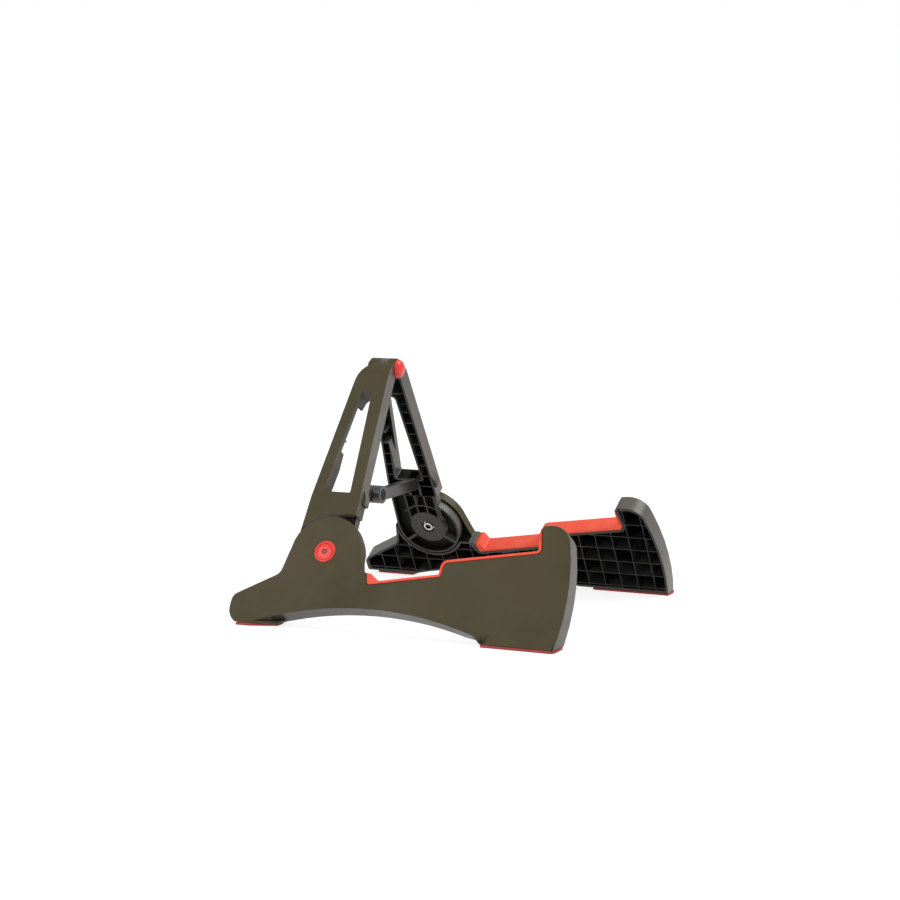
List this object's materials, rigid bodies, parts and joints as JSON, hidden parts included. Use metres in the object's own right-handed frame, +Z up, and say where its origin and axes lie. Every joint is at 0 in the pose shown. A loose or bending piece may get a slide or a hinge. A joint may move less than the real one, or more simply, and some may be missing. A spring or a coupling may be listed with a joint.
{
  "type": "guitar stand",
  "caption": "Folding A-frame guitar stand with padded cradle feet, hinged uprights and a folding brace.",
  "frame": {"origin": "on the floor, under the middle of the stand's overall length and width", "axes": "+X towards the lips that hold the guitar, +Y towards the left half, +Z up"},
  "size_m": [0.2849, 0.2782, 0.2045],
  "materials": {
    "shell_plastic": "olive-brown satin moulded plastic",
    "brace_plastic": "dark moulded plastic",
    "pad_rubber": "bright orange-red soft rubber",
    "foot_rubber": "red soft rubber",
    "cap_plastic": "red plastic",
    "hardware_steel": "bright zinc-plated steel"
  },
  "bodies": {
    "right_upright": {"right_upright": "shell_plastic", "right_link_pin": "hardware_steel", "hinge_pin": "hardware_steel", "hinge_cap_front": "cap_plastic", "hinge_cap_rear": "cap_plastic"},
    "left_upright": {"left_upright": "shell_plastic", "left_link_pin": "hardware_steel"},
    "right_foot": {"right_foot_panel": "shell_plastic", "right_cradle_pad": "pad_rubber", "right_toe_foot": "foot_rubber", "right_front_foot": "foot_rubber", "right_pivot_bolt": "hardware_steel", "right_pivot_cap": "cap_plastic", "right_pivot_washer": "hardware_steel", "right_pivot_nut": "hardware_steel"},
    "left_foot": {"left_foot_panel": "shell_plastic", "left_cradle_pad": "pad_rubber", "left_toe_foot": "foot_rubber", "left_front_foot": "foot_rubber", "left_pivot_bolt": "hardware_steel", "left_pivot_cap": "cap_plastic", "left_pivot_washer": "hardware_steel", "left_pivot_nut": "hardware_steel"},
    "right_link": {"right_link": "brace_plastic"},
    "left_link": {"left_link": "brace_plastic", "knuckle_rivet": "hardware_steel"}
  },
  "joints": [
    {"name": "apex_hinge", "type": "hinge", "parent": "right_upright", "child": "left_upright", "pos_m": [-0.0677, 0, 0.19586], "axis": [-1, 0, 0], "range_deg": [0, 63]},
    {"name": "right_foot_pivot", "type": "hinge", "parent": "right_upright", "child": "right_foot", "pos_m": [-0.0701, -0.09684, 0.05371], "axis": [0, -0.8526, 0.5225], "range_deg": [0, 48]},
    {"name": "left_foot_pivot", "type": "hinge", "parent": "left_upright", "child": "left_foot", "pos_m": [-0.0701, 0.09684, 0.05371], "axis": [0, -0.8526, -0.5225], "range_deg": [0, 48]},
    {"name": "right_link_pivot", "type": "hinge", "parent": "right_upright", "child": "right_link", "pos_m": [-0.0737, -0.07167, 0.09001], "axis": [1, 0, 0], "range_deg": [0, 54]},
    {"name": "left_link_pivot", "type": "hinge", "parent": "left_upright", "child": "left_link", "pos_m": [-0.0737, 0.07167, 0.09001], "axis": [-1, 0, 0], "range_deg": [0, 54]}
  ],
  "couplings": [
    {"joint": "right_link_pivot", "follows": "apex_hinge", "ratio": 0.855},
    {"joint": "left_link_pivot", "follows": "apex_hinge", "ratio": 0.855}
  ]
}
